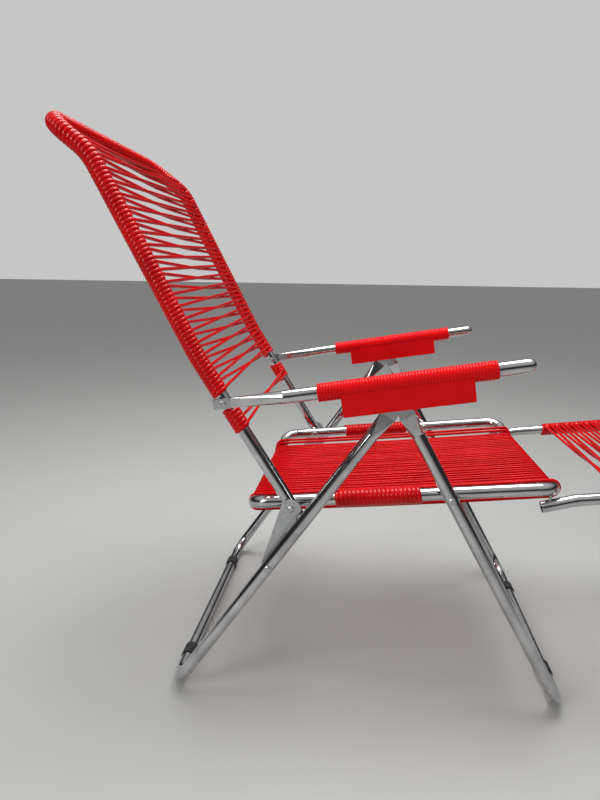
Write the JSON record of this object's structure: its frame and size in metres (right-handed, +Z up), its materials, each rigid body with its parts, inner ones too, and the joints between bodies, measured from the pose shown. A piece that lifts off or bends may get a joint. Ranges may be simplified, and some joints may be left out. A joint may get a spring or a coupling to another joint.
{
  "type": "folding deck chair",
  "caption": "Folding reclining deck chair: chromed tube frame strung with red vinyl cord, notched armrests that set the recline, and a hook-on footrest on its own folding leg.",
  "frame": {"origin": "on the floor, half-way along the chair from the footrest end to the top of the back, in its middle plane", "axes": "+X towards the footrest end (front), +Y to the sitter's left, +Z up"},
  "size_m": [1.3369, 0.581, 1.0115],
  "materials": {
    "chrome_tube": "polished, lightly worn",
    "zinc_steel": "dull zinc plating",
    "red_cord": "glossy soft vinyl",
    "red_plastic": "semi-gloss moulded",
    "black_rubber": "matte",
    "white_nylon": "matte"
  },
  "bodies": {
    "rear_legs": {"rear_leg_frame": "chrome_tube", "rear_feet": "black_rubber", "leg_axles": "zinc_steel", "link_rivets": "zinc_steel"},
    "front_legs": {"front_leg_frame": "chrome_tube", "front_feet": "black_rubber", "seat_rivets": "zinc_steel", "seat_spacers": "white_nylon"},
    "link_right": {"link_plate_right": "zinc_steel", "link_stud_right": "zinc_steel"},
    "link_left": {"link_plate_left": "zinc_steel", "link_stud_left": "zinc_steel"},
    "seat": {"seat_frame": "chrome_tube", "seat_cords": "red_cord", "seat_grip_right": "red_cord", "seat_grip_left": "red_cord", "footrest_hooks": "zinc_steel", "seat_studs": "zinc_steel"},
    "back_pivot": {"back_rivets": "zinc_steel"},
    "back": {"back_frame": "chrome_tube", "back_plugs": "black_rubber", "back_winding_right": "red_cord", "back_winding_left": "red_cord", "back_winding_top": "red_cord", "back_cords_front": "red_cord", "back_cords_rear": "red_cord", "arm_rivets": "zinc_steel"},
    "arm_pivot": {"arm_washers": "white_nylon"},
    "armrest_right": {"armrest_tube_right": "chrome_tube", "armrest_sleeve_right": "red_plastic", "rack_right": "zinc_steel", "rack_cover_right": "red_plastic", "rack_screws_right": "zinc_steel"},
    "armrest_left": {"armrest_tube_left": "chrome_tube", "armrest_sleeve_left": "red_plastic", "rack_left": "zinc_steel", "rack_cover_left": "red_plastic", "rack_screws_left": "zinc_steel"},
    "footrest": {"footrest_frame": "chrome_tube", "footrest_winding_right": "red_cord", "footrest_winding_left": "red_cord", "footrest_cords_upper": "red_cord", "footrest_cords_lower": "red_cord", "footrest_lugs": "zinc_steel"},
    "footrest_leg": {"footrest_leg": "chrome_tube", "footrest_leg_feet": "black_rubber", "footrest_leg_rivets": "zinc_steel"}
  },
  "joints": [
    {"name": "fold", "type": "hinge", "parent": "rear_legs", "child": "front_legs", "pos_m": [-0.08074, 0, 0.564], "axis": [0, 1, 0], "range_deg": [0, 57]},
    {"name": "link_right_turn", "type": "hinge", "parent": "rear_legs", "child": "link_right", "pos_m": [-0.28883, 0, 0.26413], "axis": [0, -1, 0], "range_deg": [0, 121.67]},
    {"name": "link_left_turn", "type": "hinge", "parent": "rear_legs", "child": "link_left", "pos_m": [-0.28883, 0, 0.26413], "axis": [0, -1, 0], "range_deg": [0, 121.67]},
    {"name": "seat_turn", "type": "hinge", "parent": "front_legs", "child": "seat", "pos_m": [0.01469, 0, 0.39452], "axis": [0, -1, 0], "range_deg": [0, 85.13]},
    {"name": "back_fold", "type": "hinge", "parent": "rear_legs", "child": "back_pivot", "pos_m": [-0.43904, 0, 0.43644], "axis": [0, 1, 0], "range_deg": [0, 56.87]},
    {"name": "recline", "type": "hinge", "parent": "back_pivot", "child": "back", "pos_m": [-0.25277, 0, 0.36593], "axis": [0, -1, 0], "range_deg": [-5, 15]},
    {"name": "arm_follow", "type": "hinge", "parent": "back_pivot", "child": "arm_pivot", "pos_m": [0.06709, 0, -0.01526], "axis": [0, -1, 0], "range_deg": [-2, 5]},
    {"name": "arm_right_fold", "type": "hinge", "parent": "arm_pivot", "child": "armrest_right", "pos_m": [-0.36748, 0, 0.54599], "axis": [0, -1, 0], "range_deg": [0, 118.5]},
    {"name": "arm_left_fold", "type": "hinge", "parent": "arm_pivot", "child": "armrest_left", "pos_m": [-0.36748, 0, 0.54599], "axis": [0, -1, 0], "range_deg": [0, 118.5]},
    {"name": "footrest_tilt", "type": "hinge", "parent": "seat", "child": "footrest", "pos_m": [0.18328, 0, 0.37936], "axis": [0, 1, 0], "range_deg": [0, 35]},
    {"name": "footrest_leg_fold", "type": "hinge", "parent": "footrest", "child": "footrest_leg", "pos_m": [0.59907, 0, 0.41836], "axis": [0, 1, 0], "range_deg": [0, 78]}
  ],
  "couplings": [
    {"joint": "link_right_turn", "follows": "fold", "ratio": 2.1258},
    {"joint": "link_left_turn", "follows": "fold", "ratio": 2.1258},
    {"joint": "seat_turn", "follows": "fold", "ratio": 1.4847},
    {"joint": "back_fold", "follows": "fold", "ratio": 0.989},
    {"joint": "arm_right_fold", "follows": "fold", "ratio": 2.0702},
    {"joint": "arm_left_fold", "follows": "fold", "ratio": 2.0702},
    {"joint": "arm_follow", "follows": "recline", "ratio": 0.3}
  ]
}
